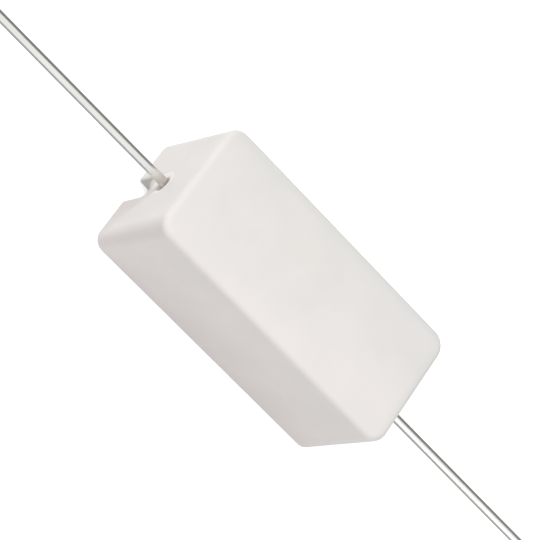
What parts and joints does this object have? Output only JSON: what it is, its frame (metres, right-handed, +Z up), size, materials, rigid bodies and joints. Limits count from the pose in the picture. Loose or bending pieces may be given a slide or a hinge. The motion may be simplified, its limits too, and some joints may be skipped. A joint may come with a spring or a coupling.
{
  "type": "axial wirewound cement resistor",
  "caption": "Power resistor with axial leads: a wirewound element set in cement inside a white pressed ceramic trough, with a tinned wire lead out of each end.",
  "frame": {"origin": "middle of the plane of the case's open rim, on which the part lies", "axes": "+X along the leads to the right lead, +Y across the case, +Z up to the closed face"},
  "size_m": [0.092, 0.0094, 0.009],
  "materials": {
    "case_ceramic": "matt unglazed white ceramic, dry pressed and fired",
    "cement": "matt cured silicone and silica cement, slightly grainy",
    "core_ceramic": "matt rod, ground round",
    "resistance_alloy": "drawn bare resistance alloy, satin",
    "cup_steel": "pressed steel with a thin tin plating",
    "lead_wire": "bright tinned copper wire"
  },
  "bodies": {
    "root": {"ceramic_case": "case_ceramic", "cement_fill": "cement", "element_core": "core_ceramic", "resistance_wire": "resistance_alloy", "end_cup_left": "cup_steel", "end_cup_right": "cup_steel", "lead_left": "lead_wire", "lead_right": "lead_wire"}
  },
  "joints": []
}
